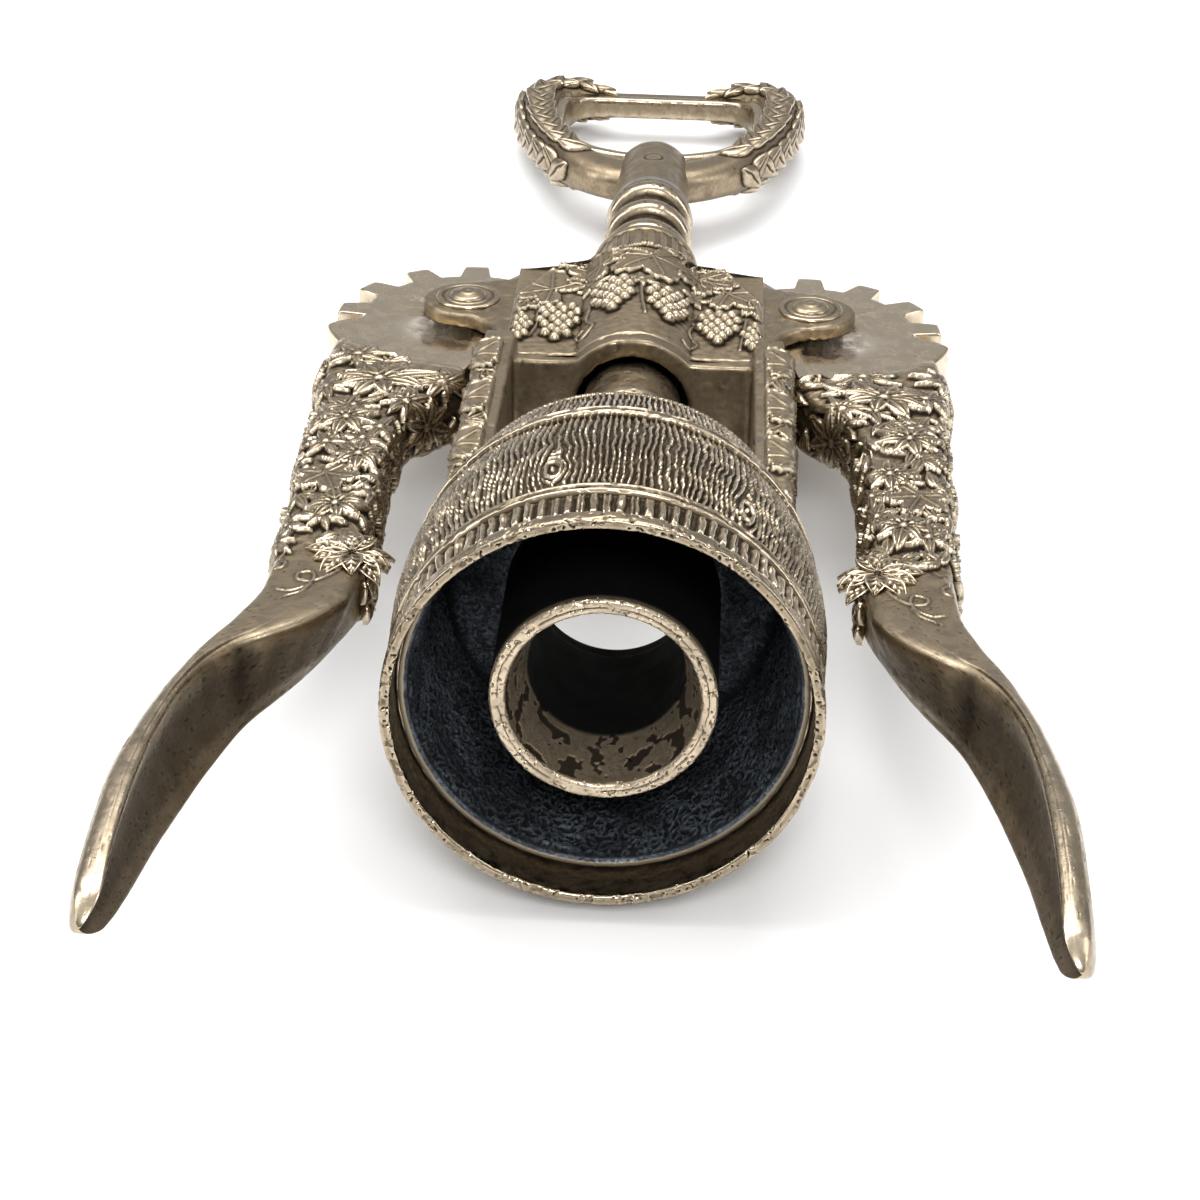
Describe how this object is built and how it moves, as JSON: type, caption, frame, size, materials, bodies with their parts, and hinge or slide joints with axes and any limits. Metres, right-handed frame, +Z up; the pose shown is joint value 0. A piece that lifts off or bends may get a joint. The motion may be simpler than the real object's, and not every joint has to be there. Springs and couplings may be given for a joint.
{
  "type": "lever corkscrew",
  "caption": "Wing corkscrew with a barrel-shaped bell, two geared levers, a ring-toothed rack and a loop handle that lifts crown caps; levers, rack and handle move.",
  "frame": {"origin": "middle of the object's footprint, on the surface it lies on", "axes": "+Y along the object from the barrel mouth to the handle, +X across the levers, +Z up from the surface it lies on; the spindle axis dips 5.74 degrees towards the handle"},
  "size_m": [0.1012, 0.2684, 0.0522],
  "materials": {
    "antique_casting": "antiqued nickel over cast brass, rubbed bright on high spots, dark in the recesses",
    "dark_liner": "rough blackened casting with a blue cast",
    "worn_seat": "worn and pitted antiqued nickel",
    "rivet_metal": "satin, antiqued",
    "rack_metal": "satin, antiqued, polished by use on the rings",
    "worm_steel": "polished steel wire",
    "steel_hardware": "turned steel"
  },
  "bodies": {
    "frame": {"frame_casting": "antique_casting", "barrel_shell": "antique_casting", "barrel_liner": "dark_liner", "barrel_screws": "steel_hardware", "seat_tube": "worn_seat", "seat_tube_nut": "steel_hardware", "right_pivot_pin": "rivet_metal", "left_pivot_pin": "rivet_metal", "right_pivot_washers": "rivet_metal", "left_pivot_washers": "rivet_metal", "right_gear_shims": "steel_hardware", "left_gear_shims": "steel_hardware"},
    "rack": {"rack_sleeve": "rack_metal"},
    "spindle": {"spindle_shaft": "steel_hardware", "worm": "worm_steel", "retaining_collar": "steel_hardware", "collar_pin": "steel_hardware", "thrust_washer": "steel_hardware", "handle": "antique_casting", "handle_pin": "rivet_metal"},
    "right_lever": {"right_lever": "antique_casting"},
    "left_lever": {"left_lever": "antique_casting"}
  },
  "joints": [
    {"name": "rack_slide", "type": "slide", "parent": "frame", "child": "rack", "axis": [0, -0.995, 0.1], "range_m": [0, 0.034]},
    {"name": "handle_spin", "type": "hinge", "parent": "rack", "child": "spindle", "pos_m": [0, 0.03217, 0.01538], "axis": [0, 0.995, -0.1], "continuous": true},
    {"name": "right_lever_swing", "type": "hinge", "parent": "frame", "child": "right_lever", "pos_m": [0.0247, 0.01933, 0.01667], "axis": [0, 0.1, 0.995], "range_deg": [0, 113.3]},
    {"name": "left_lever_swing", "type": "hinge", "parent": "frame", "child": "left_lever", "pos_m": [-0.0247, 0.01933, 0.01667], "axis": [0, 0.1, 0.995], "range_deg": [-113.3, 0]}
  ],
  "couplings": [
    {"joint": "right_lever_swing", "follows": "rack_slide", "rad_per_m": 58.139},
    {"joint": "left_lever_swing", "follows": "rack_slide", "rad_per_m": -58.139}
  ]
}
